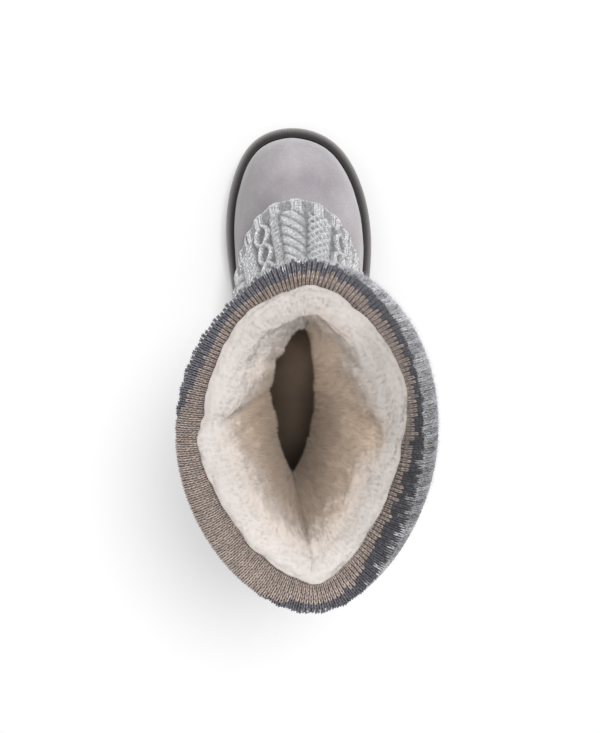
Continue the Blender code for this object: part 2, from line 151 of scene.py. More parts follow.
# The height at which places that the camera sees are compared
RIM_HEIGHT = COLLAR_HEIGHT + 0.006

# The pile's crest, outwards: how far in from its rim, and how high above the collar
PILE_CREST = (
    # back, height
    (0.0110, 0.0066),
    (0.0070, 0.0080),
    (0.0036, 0.0080),
    (0.0012, 0.0068),
    (0.0000, 0.0048),
    (0.0012, 0.0026),
)

# The cuff's roll over the collar, as in its solids: wall (-1 to 1) and rise
CUFF_CROWN = (
    (-1.00, 0.10), (-1.00, 0.55), (-0.60, 0.90), (0.00, 1.00), (0.60, 0.86), (0.95, 0.48), (1.05, 0.00),
)

TURN = 2 * math.pi

# The camera's place, straight above the boot
EYE = np.array((0.0, 0.064, 0.728))

# The cable knit: a repeat of its cables in millimetres, how often that goes round the leg, how often the
# hem's ribs do, and its fine stitches: columns round the leg and the height of a row in metres
CABLE_REPEAT = 58.0
CABLE_REPEATS = 8
HEM_PARTS = 36
KNIT_COLUMNS = 184
KNIT_ROW = 0.0020

# The cuff's knit: stitches round it and down its face, the last rows that the hem hides, the length of the
# face in metres, by how many rows the charcoal's end differs from column to column, the corners of a yarn
# leg, where on its length they are, and the loose fibres
CUFF_COLUMNS = 188
CUFF_STITCH_ROWS = 41
HIDDEN_ROWS = 2
CUFF_PATH = 0.083
SCALLOP = (-1.7, -0.2, 0.6, -0.2)
STITCH_SIDES = 3
STITCH_STOPS = (0.14, 0.5, 0.86)
FUZZ_HAIRS = 4500

# The welt: a cord rib's pitch in metres
CORD_PITCH = 0.0020

# The grids: places round the boot, and levels up it, across it or round a roll
SUEDE_PLACES = 300
SUEDE_LEVELS = 64
KNIT_PLACES = 480
CUFF_PLACES = 720
CUFF_LEVELS = 260
CUFF_BODY_PLACES = 240
CUFF_BODY_LEVELS = 90
PILE_PLACES = 480
PILE_LEVELS = 230
TUFT_PLACES = 120
TUFT_LEVELS = 44
WELT_PLACES = 1300
WELT_SIDES = 16

# Where the taupe band and the charcoal band end, in metres along the cuff's face from inside the collar
BAND_ENDS = np.array((
    # theta share of a turn, taupe, charcoal
    (0.000, 0.0136, 0.0245),
    (0.060, 0.0128, 0.0220),
    (0.090, 0.0108, 0.0175),
    (0.130, 0.0082, 0.0146),
    (0.170, 0.0078, 0.0142),
    (0.210, 0.0086, 0.0140),
    (0.240, 0.0088, 0.0146),
    (0.260, 0.0102, 0.0158),
    (0.290, 0.0122, 0.0182),
    (0.340, 0.0116, 0.0205),
    (0.370, 0.0104, 0.0200),
    (0.400, 0.0106, 0.0192),
    (0.450, 0.0116, 0.0170),
    (0.490, 0.0112, 0.0162),
    (0.520, 0.0103, 0.0160),
    (0.560, 0.0092, 0.0162),
    (0.610, 0.0092, 0.0225),
    (0.650, 0.0096, 0.0245),
    (0.690, 0.0106, 0.0245),
    (0.710, 0.0124, 0.0240),
    (0.730, 0.0160, 0.0240),
    (0.760, 0.0230, 0.0290),
    (0.920, 0.0230, 0.0290),
    (0.945, 0.0180, 0.0260),
    (0.970, 0.0140, 0.0250),
))

# Painted light and shade on the three yarns round the cuff, and how wide open the V of a stitch is
CUFF_SHADING_AND_OPENNESS = np.array((
    # theta share of a turn, taupe, charcoal, light, openness
    (0.00, 1.28, 1.80, 0.85, 0.9),
    (0.08, 1.10, 1.10, 0.70, 0.6),
    (0.16, 0.92, 0.72, 0.54, 0.3),
    (0.25, 0.60, 0.42, 0.40, 0.1),
    (0.36, 0.80, 1.05, 0.72, 0.1),
    (0.50, 1.14, 2.00, 0.90, 0.0),
    (0.64, 1.08, 2.00, 0.90, 0.3),
    (0.74, 1.06, 1.50, 0.85, 1.0),
    (0.86, 1.22, 1.00, 0.85, 1.0),
))

# The pile's edges as seen from above: how far its rim stands out past the collar's line, how far in from
# that line its pale lobes reach, and its painted light and shade
PILE_EDGES = np.array((
    # theta share of a turn, edge, lobe, painted light and shade
    (0.000, -0.0040, 0.0300, 0.84),
    (0.060, -0.0043, 0.0285, 0.83),
    (0.100, -0.0050, 0.0255, 0.80),
    (0.130, -0.0045, 0.0230, 0.72),
    (0.170, -0.0031, 0.0208, 0.68),
    (0.200, -0.0018, 0.0190, 0.64),
    (0.220, -0.0008, 0.0155, 0.65),
    (0.240, 0.0000, 0.0110, 0.61),
    (0.255, 0.0020, 0.0100, 0.59),
    (0.270, 0.0033, 0.0140, 0.58),
    (0.290, 0.0048, 0.0170, 0.57),
    (0.330, 0.0039, 0.0195, 0.58),
    (0.360, 0.0020, 0.0170, 0.61),
    (0.400, -0.0002, 0.0160, 0.68),
    (0.440, -0.0007, 0.0170, 0.70),
    (0.490, -0.0018, 0.0220, 0.69),
    (0.530, -0.0035, 0.0280, 0.71),
    (0.580, -0.0022, 0.0310, 0.73),
    (0.615, -0.0008, 0.0320, 0.73),
    (0.650, -0.0016, 0.0310, 0.75),
    (0.700, -0.0020, 0.0285, 0.75),
    (0.725, -0.0016, 0.0245, 0.74),
    (0.735, 0.0006, 0.0190, 0.74),
    (0.750, 0.0002, 0.0185, 0.76),
    (0.780, -0.0017, 0.0220, 0.78),
    (0.800, -0.0026, 0.0246, 0.79),
    (0.840, -0.0034, 0.0262, 0.80),
    (0.875, -0.0038, 0.0272, 0.83),
    (0.905, -0.0054, 0.0280, 0.84),
    (0.940, -0.0050, 0.0292, 0.84),
    (0.970, -0.0047, 0.0300, 0.84),
))

# Creases in the pile, as soft troughs that run inwards
PILE_CREASES = (
    # theta share of a turn, start and end in metres in from the collar's line, half width, depth
    (0.733, -0.002, 0.030, 0.011, 0.0034),
    (0.253, 0.002, 0.024, 0.020, 0.0032),
    (0.995, 0.026, 0.070, 0.022, 0.0030),
    (0.470, 0.016, 0.034, 0.014, 0.0022),
    (0.610, -0.002, 0.014, 0.012, 0.0014),
    (0.345, 0.002, 0.018, 0.014, 0.0016),
    (0.860, 0.000, 0.016, 0.014, 0.0014),
    (0.660, 0.010, 0.028, 0.012, 0.0016),
)

# The pile: how far its front leans outwards, lots of hairs, hairs a lot, half width of one at its root,
# how much a metre down its wall counts beside a metre across it, how far its soft shading turns up
PILE_SKEW = 0.052
PILE_LOTS = 2
PILE_LOT = 40000
PILE_HAIR = 0.00010
PILE_STEEP = 0.12
PILE_LIT = 0.6

# Colours, linear
SUEDE = (0.500, 0.467, 0.486)
KNIT = (0.90, 0.90, 0.93)
TAUPE = (0.44, 0.362, 0.325)
CHARCOAL = (0.110, 0.108, 0.126)
LIGHT = (0.70, 0.70, 0.73)
CREAM = (0.83, 0.765, 0.720)
BEIGE = (0.72, 0.560, 0.430)
WELT = (0.105, 0.098, 0.098)
BROWN = (0.27, 0.19, 0.135)

# The cuff's yarns: how much their brightness differs from column to column and from stitch to stitch, how
# thick they are, and how far they stand out in the middle of a scallop, and more so at the toe, in metres
YARNS = (
    # name, colour, streak, fleck, thickness, bulge, bulge at the toe
    ("cuff_taupe_stitches", TAUPE, 0.05, 0.22, 0.190, 0.0, 0.0),
    ("cuff_charcoal_stitches", CHARCOAL, 0.12, 0.22, 0.200, 0.0004, 0.0009),
    ("cuff_light_stitches", LIGHT, 0.48, 0.42, 0.165, 0.0, 0.0),
)


def smooth_step(value, low, high):
    """0 below low, 1 above high, and a smooth S between."""
    share = np.clip((value - low) / (high - low), 0.0, 1.0)
    return share * share * (3.0 - 2.0 * share)


def section(table, row, *place):
    """Rows of a table, or a place in each, at row numbers that may lie between two, as smooth curves."""
    row = np.asarray(row, float)
    last = len(table) - 1
    start = np.clip(np.floor(row), 0, last - 1).astype(int)
    share = (row - start)[..., None]
    before, low, high, beyond = (
        table[(index, *place)]
        for index in (np.maximum(start - 1, 0), start, start + 1, np.minimum(start + 2, last))
    )
    low_slope = np.where((start > 0)[..., None], (high - before) / 2, high - low)
    high_slope = np.where((start < last - 1)[..., None], (beyond - low) / 2, high - low)
    return (
        (2 * share**3 - 3 * share**2 + 1) * low
        + (share**3 - 2 * share**2 + share) * low_slope
        + (3 * share**2 - 2 * share**3) * high
        + (share**3 - share**2) * high_slope
    )


def closed_spline(points, steps):
    """A closed line through the points, whose curvature has no jumps, with that many steps a span."""
    points = np.asarray(points, float)
    count = len(points)
    following = np.roll(points, -1, axis=0)
    chords = np.linalg.norm(following - points, axis=1)
    slopes = (following - points) / chords[:, None]
    matrix = np.zeros((count, count))
    for index in range(count):
        matrix[index, index - 1] += chords[index - 1]
        matrix[index, index] += 2 * (chords[index - 1] + chords[index])
        matrix[index, (index + 1) % count] += chords[index]
    bends = np.linalg.solve(matrix, 6 * (slopes - np.roll(slopes, 1, axis=0)))
    line = []
    for index in range(count):
        chord, end = chords[index], (index + 1) % count
        done = (np.arange(steps) / steps * chord)[:, None]
        left = chord - done
        line.append(
            (bends[index] * left**3 + bends[end] * done**3) / (6 * chord)
            + (points[index] / chord - bends[index] * chord / 6) * left
            + (points[end] / chord - bends[end] * chord / 6) * done
        )
    return np.vstack(line)


SPLINE = closed_spline(
    [(across * BALL_WIDTH, along * SOLE_LENGTH - HEEL_SETBACK) for along, across in OUTLINE], 60
)


def outline_inset(theta, inset):
    """(x, y) of the sole's outline moved in by inset; y runs with the cosine of theta from heel to toe."""
    line = SPLINE
    along = np.roll(line, -1, axis=0) - np.roll(line, 1, axis=0)
    along /= np.linalg.norm(along, axis=1)[:, None]
    line = line + inset * np.column_stack([along[:, 1], -along[:, 0]])
    line = np.roll(line, -line[:, 1].argmax(), axis=0)
    heel = line[:, 1].argmin()
    outer, inner = line[: heel + 1], np.vstack([line[heel:], line[:1]])
    theta = np.mod(theta, TURN)
    y = line[heel, 1] + (0.5 - 0.5 * np.cos(theta)) * (line[0, 1] - line[heel, 1])
    x_outer = np.interp(y, outer[::-1, 1], outer[::-1, 0])
    x_inner = np.interp(y, inner[:, 1], inner[:, 0])
    return np.where(theta <= math.pi, x_outer, x_inner), y


def sole_top(y):
    """Height of the bed that the upper stands on."""
    share = (y + HEEL_SETBACK) / SOLE_LENGTH
    lift = TOE_SPRING * np.clip((share - SPRING_START) / (1 - SPRING_START), 0, None) ** SPRING_CURVE
    return HEEL_HEIGHT + (FOREFOOT_HEIGHT - HEEL_HEIGHT) * smooth_step(share, *BED_DROP) + lift


def last_table():
    """Every section of the last in metres, and the fine line of the feather edge round the foot."""
    theta = np.linspace(0, TURN, 1441)
    x, y = outline_inset(theta, FEATHER_INSET)
    feather_width = x.max() - x.min()
    rows = []
    for front, back, rise_front, rise_side, rise_back, width, foot in FOOT_ROWS:
        rows.append((
            y.max() - front * SOLE_LENGTH, y.min() + back * SOLE_LENGTH,
            rise_front * INSTEP_HEIGHT, rise_side * INSTEP_HEIGHT, rise_back * INSTEP_HEIGHT,
            width * feather_width, 0.0, foot, 2.0, 2.0,
        ))
    for length, width, centre, lean, rise, square_front, square_back in LEG_ROWS:
        middle = LEG_CENTRE + centre * COLLAR_LENGTH
        height = INSTEP_HEIGHT + rise * LEG_HEIGHT
        rows.append((
            middle + length * COLLAR_LENGTH / 2, middle - length * COLLAR_LENGTH / 2,
            height, height, height,
            width * COLLAR_WIDTH, lean * COLLAR_WIDTH, 0.0, square_front, square_back,
        ))
    return np.array(rows), theta, x / feather_width


LAST, FEATHER_THETA, FEATHER_SHARES = last_table()


def collar_skew(ends, share):
    """Outward shift of the leg's front and back ends at a share of its whole at the collar."""
    return share * (COLLAR_SKEW_FRONT * ends.clip(0, 1) ** 2 + COLLAR_SKEW_BACK * (-ends).clip(0, 1) ** 2)


def last_surface(theta, row):
    """Points of the last: shares of a row's length and width, and its rise as a square towards the ends."""
    theta, row = np.broadcast_arrays(theta, row)
    values = section(LAST, row)
    front, back, rise_front, rise_side, rise_back, width, centre, foot = np.moveaxis(values, -1, 0)[:8]
    along = 0.5 - 0.5 * np.cos(theta)
    ends = 2 * along - 1
    square = np.where(ends > 0, values[..., 8], values[..., 9])
    reach = np.sqrt(ends**2 + WIDEST_SOFTNESS**2) - WIDEST_SOFTNESS
    reach = reach / (math.sqrt(1 + WIDEST_SOFTNESS**2) - WIDEST_SOFTNESS)
    oval = (1 - reach**square).clip(0) ** (1 / square) / 2 * np.sign(np.sin(theta))
    shares = np.interp(np.mod(theta, TURN), FEATHER_THETA, FEATHER_SHARES)
    centre = centre + collar_skew(ends, smooth_step(row, *SKEW_ROWS))
    x = centre + width * (foot * shares + (1 - foot) * oval)
    y = back + along * (front - back)
    rise = (
        rise_side
        + (rise_front - rise_side) * np.clip(ends, 0, 1) ** 2
        + (rise_back - rise_side) * np.clip(-ends, 0, 1) ** 2
    )
    z = HEEL_HEIGHT + GAP + rise + foot * (sole_top(y) - HEEL_HEIGHT)
    return np.stack([x, y, z], -1)


def unit(vectors):
    """Vectors made one metre long."""
    return vectors / np.maximum(np.linalg.norm(vectors, axis=-1, keepdims=True), 1e-12)


def last_offset(theta, row, distance):
    """Points of the last moved out along its own normal by distance."""
    turn, step = 0.02, 0.02
    theta, row = np.broadcast_arrays(theta, row)
    across = last_surface(theta - turn, row) - last_surface(theta + turn, row)
    up = last_surface(theta, row + step) - last_surface(theta, np.maximum(row - step, 0))
    up[..., 2] += 1e-7
    normal = unit(np.cross(up, across))
    return last_surface(theta, row) + np.asarray(distance)[..., None] * normal


def running(lengths):
    """Distances from the start of a line to its points, from the lengths between them."""
    return np.concatenate([[0.0], np.cumsum(lengths)])


def grid_normals(grid):
    """Unit normals of a grid that is closed along its second axis, away from the middle going up."""
    across = np.roll(grid, -1, axis=1) - np.roll(grid, 1, axis=1)
    up = np.gradient(grid, axis=0)
    return unit(np.cross(across, up))


def between(grid, column, row, fx, fy):
    """Values of a grid that is closed along its second axis, fx and fy of the way past a column and row."""
    after = (column + 1) % grid.shape[1]
    low = grid[row, column] * (1 - fx) + grid[row, after] * fx
    high = grid[row + 1, column] * (1 - fx) + grid[row + 1, after] * fx
    return low * (1 - fy) + high * fy


def on_sheet(grid, turn, down):
    """Values of a grid at turns (any number, 1 a round) and down (0 to 1), straight between its points."""
    levels, places = grid.shape[:2]
    x, y = np.mod(turn, 1.0) * places, np.clip(down, 0, 1) * (levels - 1)
    column, row = np.floor(x).astype(int) % places, np.minimum(np.floor(y).astype(int), levels - 2)
    return between(grid, column, row, (x - np.floor(x))[..., None], (y - row)[..., None])


def value_noise(u, v, cells_u, cells_v, seed):
    """Smooth random hills between -1 and 1, that repeat in u once a turn: u and v run from 0 to 1."""
    rng = np.random.default_rng(seed)
    lattice = rng.uniform(-1, 1, (cells_v + 2, cells_u))
    x, y = np.mod(u, 1.0) * cells_u, np.clip(v, 0, 1) * cells_v
    column, row = np.floor(x).astype(int) % cells_u, np.floor(y).astype(int)
    fx, fy = x - np.floor(x), y - np.floor(y)
    return between(lattice, column, row, fx * fx * (3 - 2 * fx), fy * fy * (3 - 2 * fy))


def puffs(u, v, cells_u, cells_v, seed):
    """Round puffs with creases between: 1 less the squared distance to the nearest jittered centre."""
    rng = np.random.default_rng(seed)
    jitter = rng.uniform(0.12, 0.88, (cells_v + 3, cells_u, 2))
    x, y = np.mod(u, 1.0) * cells_u, np.clip(v, 0, 1) * cells_v + 1
    column, row = np.floor(x).astype(int), np.floor(y).astype(int)
    nearest = np.full(np.shape(x), 9.0)
    for down in (-1, 0, 1):
        for side in (-1, 0, 1):
            cell_row = np.clip(row + down, 0, cells_v + 2)
            centre = jitter[cell_row, (column + side) % cells_u]
            away = (column + side + centre[..., 0] - x) ** 2 + (row + down + centre[..., 1] - y) ** 2
            nearest = np.minimum(nearest, away)
    return 1 - np.minimum(nearest, 1.0)


def new_piece(name, points, faces, finish, tint, uv=None):
    """An object at the origin from points and faces, smooth, with a colour for every point."""
    mesh = bpy.data.meshes.new(name)
    count, corners = faces.shape
    mesh.vertices.add(len(points))
    mesh.vertices.foreach_set("co", points.astype(np.float32).ravel())
    mesh.loops.add(count * corners)
    mesh.loops.foreach_set("vertex_index", faces.astype(np.int32).ravel())
    mesh.polygons.add(count)
    mesh.polygons.foreach_set("loop_start", np.arange(0, count * corners, corners, dtype=np.int32))
    mesh.update(calc_edges=True)
    mesh.shade_smooth()
    colours = mesh.attributes.new("tint", "FLOAT_COLOR", "POINT")
    rgba = np.ones((len(points), 4), np.float32)
    rgba[:, :3] = tint
    colours.data.foreach_set("color", rgba.ravel())
    if uv is not None:
        mesh.uv_layers.new(name="UVMap").data.foreach_set("uv", uv.astype(np.float32).ravel())
    mesh.materials.append(finish)
    piece = bpy.data.objects.new(name, mesh)
    bpy.context.scene.collection.objects.link(piece)
    return piece


def ring_loft(name, rings, finish, tint, heights=None):
    """A closed body from rings that go up its inner face and down its outer one, then round to the start.

    rings is levels by places by 3. The UV is (turns, heights), and heights has one value a level.
    """
    levels, places = rings.shape[:2]
    level, place = np.meshgrid(np.arange(levels), np.arange(places), indexing="ij")
    after, beside = (level + 1) % levels, (place + 1) % places
    faces = np.stack([
        after * places + place, after * places + beside,
        level * places + beside, level * places + place,
    ], -1).reshape(-1, 4)
    uv = None
    if heights is not None:
        heights = np.asarray(heights, float)
        turn = np.stack([place, place + 1, place + 1, place], -1) / places
        high, low = heights[after], heights[level]
        uv = np.stack([turn, np.stack([high, high, low, low], -1)], -1).reshape(-1, 2)
    tint = np.broadcast_to(tint, rings.shape).reshape(-1, 3)
    return new_piece(name, rings.reshape(-1, 3), faces, finish, tint, uv)


class Shade:
    """A Principled material put together from plain maths on coordinates and attributes."""

    def __init__(self, name, roughness, sheen=0.0):
        self.material = bpy.data.materials.new(name)
        self.material.use_nodes = True
        self.tree = self.material.node_tree
        self.shader = self.tree.nodes["Principled BSDF"]
        self.fill(self.shader, {"Roughness": roughness, "Specular IOR Level": 0.2})
        if sheen:
            self.fill(self.shader, {"Sheen Weight": sheen, "Sheen Roughness": 0.6})

    def fill(self, node, inputs):
        """Gives a node's inputs numbers, colours or what other nodes put out."""
        for key, value in dict(inputs).items():
            if isinstance(value, bpy.types.NodeSocket):
                self.tree.links.new(value, node.inputs[key])
            else:
                node.inputs[key].default_value = value
        return node

    def node(self, kind, inputs=(), **settings):
        made = self.tree.nodes.new(kind)
        for key, value in settings.items():
            setattr(made, key, value)
        return self.fill(made, inputs)

    def maths(self, operation, *values):
        return self.node("ShaderNodeMath", enumerate(values), operation=operation).outputs[0]

    def tint(self):
        return self.node("ShaderNodeAttribute", attribute_name="tint").outputs["Color"]

    def place(self):
        return self.node("ShaderNodeTexCoord").outputs["Object"]

    def noise(self, scale, detail=3.0, roughness=0.6):
        inputs = {"Vector": self.place(), "Scale": scale, "Detail": detail, "Roughness": roughness}
        return self.node("ShaderNodeTexNoise", inputs).outputs["Fac"]

    def range(self, value, low, high, to_low, to_high):
        inputs = {"Value": value, "From Min": low, "From Max": high, "To Min": to_low, "To Max": to_high}
        return self.node("ShaderNodeMapRange", inputs).outputs["Result"]

    def scaled(self, colour, factor):
        inputs = {0: colour, "Scale": factor}
        return self.node("ShaderNodeVectorMath", inputs, operation="SCALE").outputs["Vector"]

    def base(self, colour):
        self.fill(self.shader, {"Base Color": colour})

    def bump(self, height, strength, distance, under=None):
        inputs = {"Strength": strength, "Distance": distance, "Height": height}
        if under is not None:
            inputs["Normal"] = under
        normal = self.node("ShaderNodeBump", inputs).outputs["Normal"]
        self.fill(self.shader, {"Normal": normal})
        return normal


def yarn_finish(name):
    """Yarn: the tint, flecked finely, with fibre bumps."""
    shade = Shade(name, 0.95, sheen=0.15)
    fleck = shade.range(shade.noise(1400.0, 2.0), 0.3, 0.7, 0.72, 1.22)
    shade.base(shade.scaled(shade.tint(), fleck))
    shade.bump(shade.noise(2600.0, 2.0), 0.5, 0.0004)
    return shade.material


def knit_finish(name, columns, stitch_rows):
    """Fine knit: v-shaped stitches in columns and rows of the UV, as bump and as gaps darkened with painted
    shade.
    """
    shade = Shade(name, 0.95, sheen=0.15)
    place = shade.node("ShaderNodeUVMap", uv_map="UVMap").outputs["UV"]
    parts = shade.node("ShaderNodeSeparateXYZ", {0: place})
    across = shade.maths("MULTIPLY", parts.outputs["X"], columns)
    side = shade.maths("ABSOLUTE", shade.maths("SUBTRACT", shade.maths("FRACT", across), 0.5))
    up = shade.maths("MULTIPLY", parts.outputs["Y"], stitch_rows)
    slant = shade.maths("SUBTRACT", up, shade.maths("MULTIPLY", side, 1.3))
    along = shade.maths("SUBTRACT", shade.maths("FRACT", slant), 0.5)
    leg = shade.maths("SUBTRACT", 1.0, shade.maths("POWER", shade.maths(
        "ABSOLUTE", shade.maths("MULTIPLY", shade.maths("SUBTRACT", side, 0.25), 4.0)), 2.0))
    loop = shade.maths("SUBTRACT", 1.0, shade.maths("POWER", shade.maths(
        "ABSOLUTE", shade.maths("MULTIPLY", along, 2.0)), 2.0))
    height = shade.maths("MULTIPLY", shade.maths("SQRT", shade.maths("MAXIMUM", leg, 0.0)),
                         shade.maths("ADD", 0.35, shade.maths("MULTIPLY", loop, 0.65)))
    fleck = shade.range(shade.noise(520.0, 2.0), 0.35, 0.65, 0.66, 1.14)
    gap_shade = shade.range(height, 0.0, 0.75, 0.42, 1.10)
    shade.base(shade.scaled(shade.scaled(shade.tint(), gap_shade), fleck))
    fine = shade.bump(shade.noise(2600.0, 2.0), 0.4, 0.0003)
    shade.bump(height, 0.9, 0.0009, fine)
    return shade.material


def suede_finish():
    """Suede: grey with a cast of mauve, cloudy where the nap lies another way, with a fine grain."""
    shade = Shade("suede", 0.92, sheen=0.35)
    cloud = shade.range(shade.noise(38.0, 5.0, 0.72), 0.32, 0.70, 0.83, 1.08)
    grain = shade.range(shade.noise(900.0, 3.0), 0.3, 0.7, 0.90, 1.08)
    shade.base(shade.scaled(shade.scaled(shade.tint(), cloud), grain))
    shade.bump(shade.noise(1900.0, 3.0), 0.35, 0.0003)
    return shade.material


def fur_finish():
    """Pile: the tint alone, soft and matt."""
    shade = Shade("pile", 1.0, sheen=0.3)
    soft = shade.range(shade.noise(300.0, 2.0), 0.3, 0.7, 0.95, 1.03)
    shade.base(shade.scaled(shade.tint(), soft))
    return shade.material


def plain_finish(name, colour, roughness, grain, depth):
    """A plain finish with a slight mottle and a fine grain."""
    shade = Shade(name, roughness)
    mottle = shade.range(shade.noise(60.0, 4.0), 0.3, 0.7, 0.88, 1.10)
    shade.base(shade.scaled(colour, mottle))
    shade.bump(shade.noise(grain, 2.0), 0.4, depth)
    return shade.material


def add(piece, node=None):
    """Rides a piece on the boot and, when it stands for a solid, hides that solid."""
    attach(piece, "root")
    if node:
        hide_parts(node)
    return piece


def make_suede():
    """Suede foot: the last's outer face with soft hills and a darker patch, and its inner face."""
    theta = np.arange(SUEDE_PLACES) / SUEDE_PLACES * TURN
    rows = np.linspace(0.0, SUEDE_TOP_ROW, SUEDE_LEVELS)[:, None]
    inner_rows = np.linspace(0.0, SUEDE_TOP_ROW, 14)[:, None]
    outer = last_offset(theta, rows, 0.0)
    normal = unit(last_offset(theta, rows, 0.001) - outer)
    u = np.broadcast_to(theta / TURN, outer.shape[:2])
    v = np.broadcast_to(rows / SUEDE_TOP_ROW, outer.shape[:2])
    hills = value_noise(u, v, 22, 5, 11) * 0.5 + value_noise(u, v, 60, 12, 12) * 0.22
    fade = smooth_step(rows, 0.3, 1.6) * (1 - smooth_step(rows, 4.6, 5.0))
    outer = outer + (hills * fade * 0.0007)[..., None] * normal
    inner = last_offset(theta, inner_rows, -SUEDE_WALL)
    rings = np.concatenate([inner, outer[::-1]])
    tint = np.array(SUEDE) * np.ones(rings.shape)
    patch = np.exp(-((outer[..., 0] - 0.006) / 0.024) ** 2 - ((outer[..., 1] - 0.192) / 0.013) ** 2)
    tint[len(inner):] *= 1 - patch[::-1][..., None] * np.array((0.24, 0.26, 0.22))
    shadow = smooth_step(rows[::-1], 4.0, 5.0) * 0.18 + 0.46 * np.clip(-normal[::-1, :, 0], 0, 1)
    tint[len(inner):] *= (1 - shadow)[..., None]
    add(ring_loft("suede_foot", rings, suede_finish(), tint), "upper")


def dome(distance, half):
    """A round ridge: 1 at no distance, 0 from half a width away on."""
    return np.sqrt(np.clip(1 - (distance / half) ** 2, 0, 1))


def cable_relief(across, up):
    """Height of the cables, 0 to 1, from millimetres across from the front's middle and up from the hem.

    One repeat has a rope of slanting strands, a narrow twist and a chain of eyelets on its inner side, and
    a lattice with small holes on its outer side.
    """
    place = np.mod(across + 33.0, CABLE_REPEAT) - 33.0
    strand = np.mod((up - 0.95 * place) / 8.6, 1.0) * 2 - 1
    width = np.clip(1 - np.abs((place + 2.7) / 8.2) ** 5, 0, 1)
    height = (1 - np.abs(strand) ** 2.6) ** 0.7 * width * (0.84 - 0.020 * (place + 2.7))
    step = np.mod((up + 0.35 * place) / 3.6, 1.0) * 2 - 1
    twist = (1 - np.abs(step) ** 3) ** 0.7 * np.clip(1 - np.abs((place + 14.6) / 3.7) ** 4, 0, 1)
    height = np.maximum(height, 0.72 * twist)
    bow = 5.4 * np.abs(np.sin((up + 2.0) / 17.0 * math.pi)) ** 0.7
    for hand in (-1.0, 1.0):
        height = np.maximum(height, 0.95 * dome(place + 25.4 - hand * bow, 1.7))
    for tilt in (-1.0, 1.0):
        web = np.mod((up + tilt * 1.15 * (place - 14.5)) / 6.2, 1.0) * 2 - 1
        inside = np.clip(1 - np.abs((place - 14.5) / 9.0) ** 6, 0, 1)
        height = np.maximum(height, 0.78 * dome(web, 0.62) * inside)
    return np.clip(height, 0, 1)


def hem_relief(across, up, girth):
    """Height of the hem, 0 to 1: three ribs, then a sunk panel, many times round, under a rolled edge."""
    part = np.mod(across / girth * HEM_PARTS + 0.25, 1.0)
    ribs = np.abs(np.sin(np.clip(part / 0.48, 0, 1) * 3 * math.pi)) ** 0.7
    panel = 0.18 + 0.14 * np.abs(np.sin(up / 2.0 * math.pi))
    height = np.where(part < 0.48, 0.30 + 0.62 * ribs, panel)
    roll = dome(up - 1.0, 1.5)
    return np.maximum(height, roll * (0.72 + 0.2 * np.cos(part * TURN - 1.5)))


def make_knit_leg():
    """Knitted leg: cables and a ribbed hem raised on the last, moved out by the knit's thickness."""
    theta = np.arange(KNIT_PLACES) / KNIT_PLACES * TURN
    rows = np.concatenate([
        np.linspace(KNIT_HEM_ROW, 8.0, 96, endpoint=False), np.linspace(8.0, COLLAR_ROW, 48),
    ])[:, None]
    inner_rows = np.linspace(KNIT_HEM_ROW, COLLAR_ROW, 8)[:, None]
    bare = last_offset(theta, rows, GAP)
    normal = unit(last_offset(theta, rows, 0.001) - last_offset(theta, rows, 0.0))
    steps = np.linalg.norm(np.diff(bare, axis=0), axis=2)
    front = np.abs(theta - math.pi) < 0.6
    up = running(steps[:, front].mean(1))[:, None] * 1000
    widths = np.linalg.norm(np.roll(bare, -1, axis=1) - bare, axis=2)[60:100].mean(0)
    girth = CABLE_REPEAT * CABLE_REPEATS
    across = np.cumsum(widths) / widths.sum() * girth
    across = (across[KNIT_PLACES // 2] - across)[None, :]
    height = cable_relief(across, up - 11.0)
    hem = 1 - smooth_step(up, 9.0, 10.6)
    height = height * (1 - hem) + hem * hem_relief(across, up, girth)
    wall = KNIT_WALL - 0.0022 + 0.0034 * height
    wall = wall * (0.40 + 0.60 * smooth_step(up, -1.2, 1.2))
    outer = bare + wall[..., None] * normal
    inner = last_offset(theta, inner_rows, GAP)
    rings = np.concatenate([inner, outer[::-1]])
    heights = np.concatenate([np.linspace(0, up.max(), len(inner)), up[::-1, 0]]) / 1000
    tint = np.array(KNIT) * np.ones(rings.shape)
    # Painted shade low in the relief between cables, ribs and stitches, and painted light on both flanks,
    # more on the outer one
    x = outer[::-1, :, 0]
    lit = 1 + 0.26 * smooth_step(x, 0.004, 0.030) + 0.10 * smooth_step(-x, 0.016, 0.034)
    tint[len(inner):] *= ((0.36 + 0.84 * height[::-1] ** 1.2) * lit)[..., None]
    tint = np.minimum(tint, 0.97)
    finish = knit_finish("cable_knit", KNIT_COLUMNS, 1 / KNIT_ROW)
    add(ring_loft("cable_knit_leg", rings, finish, tint, heights), "knit_leg")


def cuff_flare(theta, row):
    """How far the cuff stands off the leg: most at its hem, on the outer side."""
    towards = math.pi - math.radians(CUFF_FLARE_SIDE)
    side = (0.5 + 0.5 * np.cos(theta - towards)) ** 1.5
    return CUFF_FLARE * side * (COLLAR_ROW - row) / (COLLAR_ROW - CUFF_HEM_ROW)


def even_thetas(count):
    """Thetas of places spaced evenly along the collar, and of the end of the round."""
    fine = np.linspace(0, TURN, 2881)
    line = last_offset(fine, COLLAR_ROW, KNIT_WALL)
    arc = running(np.linalg.norm(np.diff(line, axis=0), axis=1))
    return np.interp(np.arange(count + 1) / count * arc[-1], arc, fine)


def around(table, theta, column):
    """A column of a table whose first one is the share of a turn, read at theta."""
    return np.interp(theta / TURN, table[:, 0], table[:, column], period=1.0)


